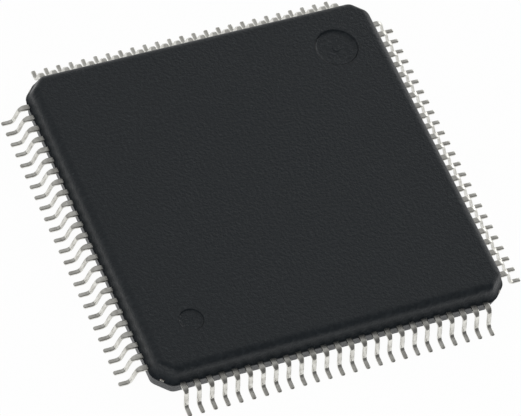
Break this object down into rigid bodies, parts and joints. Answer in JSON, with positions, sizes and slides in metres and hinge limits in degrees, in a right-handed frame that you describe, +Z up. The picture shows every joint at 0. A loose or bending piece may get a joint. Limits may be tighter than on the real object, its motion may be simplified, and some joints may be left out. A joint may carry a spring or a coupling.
{
  "type": "quad flat pack chip",
  "caption": "Flat square moulded chip package with gull-wing leads along all four sides, for surface soldering.",
  "frame": {"origin": "centre of the seating plane, under the soles of the leads", "axes": "+Z up out of the board, -Y towards the side with the first pin, whose index mark is at the -X -Y corner"},
  "size_m": [0.016, 0.016, 0.0015],
  "materials": {
    "moulding_compound": "matte, moulded",
    "tinned_lead": "matte tin plate",
    "frame_copper": "bare copper alloy",
    "silver_epoxy": "matte",
    "silicon": "polished",
    "polyimide_tape": "satin",
    "gold_wire": "drawn"
  },
  "bodies": {
    "root": {"body": "moulding_compound", "die_paddle": "frame_copper", "die_attach": "silver_epoxy", "die": "silicon", "lead_tape": "polyimide_tape", "leads_1_to_5": "tinned_lead", "leads_6_to_10": "tinned_lead", "leads_11_to_15": "tinned_lead", "leads_16_to_20": "tinned_lead", "leads_21_to_25": "tinned_lead", "leads_26_to_30": "tinned_lead", "leads_31_to_35": "tinned_lead", "leads_36_to_40": "tinned_lead", "leads_41_to_45": "tinned_lead", "leads_46_to_50": "tinned_lead", "leads_51_to_55": "tinned_lead", "leads_56_to_60": "tinned_lead", "leads_61_to_65": "tinned_lead", "leads_66_to_70": "tinned_lead", "leads_71_to_75": "tinned_lead", "leads_76_to_80": "tinned_lead", "leads_81_to_85": "tinned_lead", "leads_86_to_90": "tinned_lead", "leads_91_to_95": "tinned_lead", "leads_96_to_100": "tinned_lead", "bond_wires_1_to_5": "gold_wire", "bond_wires_6_to_10": "gold_wire", "bond_wires_11_to_15": "gold_wire", "bond_wires_16_to_20": "gold_wire", "bond_wires_21_to_25": "gold_wire", "bond_wires_26_to_30": "gold_wire", "bond_wires_31_to_35": "gold_wire", "bond_wires_36_to_40": "gold_wire", "bond_wires_41_to_45": "gold_wire", "bond_wires_46_to_50": "gold_wire", "bond_wires_51_to_55": "gold_wire", "bond_wires_56_to_60": "gold_wire", "bond_wires_61_to_65": "gold_wire", "bond_wires_66_to_70": "gold_wire", "bond_wires_71_to_75": "gold_wire", "bond_wires_76_to_80": "gold_wire", "bond_wires_81_to_85": "gold_wire", "bond_wires_86_to_90": "gold_wire", "bond_wires_91_to_95": "gold_wire", "bond_wires_96_to_100": "gold_wire"}
  },
  "joints": []
}
